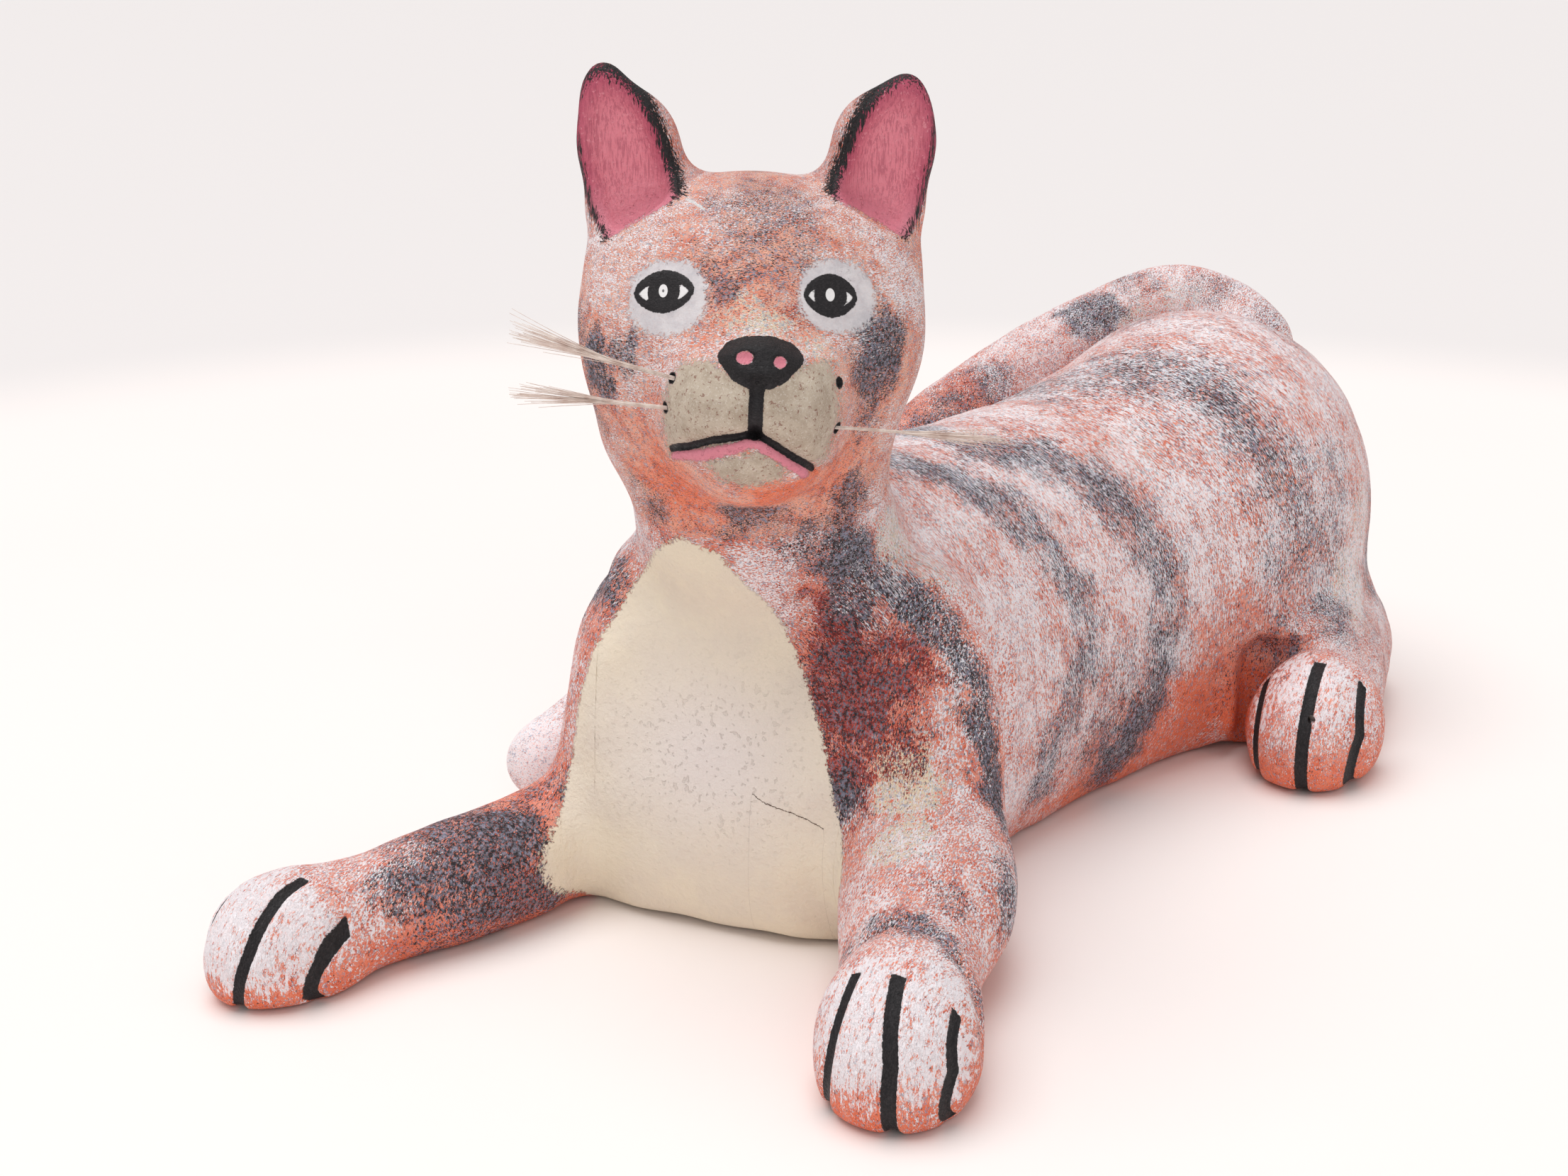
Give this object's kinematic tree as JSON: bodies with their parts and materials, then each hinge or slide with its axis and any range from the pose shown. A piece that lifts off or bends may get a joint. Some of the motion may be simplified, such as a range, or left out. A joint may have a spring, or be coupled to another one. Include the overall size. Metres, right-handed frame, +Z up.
{
  "type": "carved wooden cat figure",
  "caption": "Carved and painted wooden cat lying down with raised head, pricked ears, stretched forelegs, fibre whiskers and a long plug-in tail wrapped along its side.",
  "frame": {"origin": "on the flat underside of the torso, in the middle between the forelegs and the haunches", "axes": "+Z up from the surface it lies on, -Y the way the cat looks, +X the cat's left"},
  "size_m": [0.2102, 0.3598, 0.1968],
  "materials": {
    "painted_body": "matte dry-brushed salmon acrylic with charcoal bands over carved wood",
    "painted_head": "matte dry-brushed salmon acrylic with cream muzzle, black nose and eye paint",
    "painted_ear": "matte pink acrylic hollow with a black edge line",
    "painted_leg": "matte dry-brushed acrylic, whitened paws with black toe lines",
    "painted_paw": "matte whitened acrylic over orange with black toe lines",
    "painted_tail": "matte dry-brushed salmon acrylic with charcoal bands and a pale tip",
    "dowel_wood": "bare turned softwood",
    "nail_steel": "dull wire nail",
    "whisker_fibre": "pale plant fibre tuft"
  },
  "bodies": {
    "figure": {"torso": "painted_body", "head": "painted_head", "neck_dowel": "dowel_wood", "ear_left": "painted_ear", "ear_right": "painted_ear", "ear_peg_left": "dowel_wood", "ear_peg_right": "dowel_wood", "foreleg_left": "painted_leg", "foreleg_right": "painted_leg", "foreleg_dowel_left": "dowel_wood", "foreleg_dowel_right": "dowel_wood", "hind_paw_left": "painted_paw", "hind_paw_right": "painted_paw", "hind_nail_left": "nail_steel", "hind_nail_right": "nail_steel", "whiskers_right_upper": "whisker_fibre", "whiskers_right_lower": "whisker_fibre", "whiskers_left_lower": "whisker_fibre"},
    "tail": {"tail": "painted_tail", "tail_peg": "dowel_wood"}
  },
  "joints": [
    {"name": "tail_pull", "type": "slide", "parent": "figure", "child": "tail", "axis": [0, 0.6894, 0.7244], "range_m": [0, 0.024]}
  ]
}
